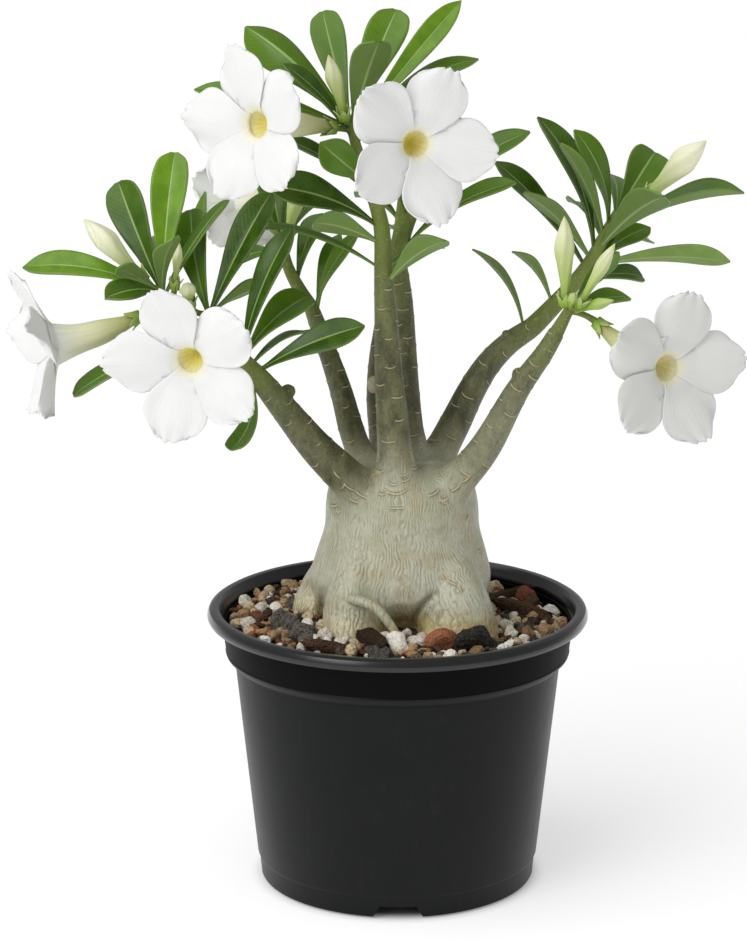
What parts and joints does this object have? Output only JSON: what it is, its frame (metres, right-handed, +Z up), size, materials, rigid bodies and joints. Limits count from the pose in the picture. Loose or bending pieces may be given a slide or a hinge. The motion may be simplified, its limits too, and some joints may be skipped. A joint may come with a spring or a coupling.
{
  "type": "potted desert rose",
  "caption": "Desert rose plant with a swollen trunk, bare branches, leafy ends, white trumpet flowers and buds, in a black nursery pot of gritty soil.",
  "frame": {"origin": "middle of the pot's underside, on the surface that the pot stands on", "axes": "+Z up along the pot's axis, -Y towards the plant's front, +X to the right of someone who faces the front"},
  "size_m": [0.3053, 0.1823, 0.3698],
  "materials": {
    "pot": "satin black moulded plastic",
    "soil": "dry grit of pale and dark stones and bark",
    "bark": "smooth grey-green bark with a fine tan net",
    "leaf": "waxy green leaf",
    "petal": "soft white petal",
    "bud": "soft cream bud"
  },
  "bodies": {
    "root": {"pot": "pot", "soil": "soil", "caudex": "bark", "crown_leaves": "leaf", "right_crown_leaves": "leaf", "back_leaves": "leaf", "left_leaves": "leaf", "middle_leaves": "leaf", "right_leaves": "leaf", "front_right_leaves": "leaf", "top_left_bloom": "petal", "middle_bloom": "petal", "lower_left_bloom": "petal", "far_left_bloom": "petal", "right_bloom": "petal", "back_bloom": "petal", "crown_bud": "bud", "left_bud": "bud", "left_slim_bud": "bud", "left_young_bud": "bud", "middle_bud": "bud", "right_bud": "bud", "front_right_tall_bud": "bud", "front_right_slim_bud": "bud"}
  },
  "joints": []
}
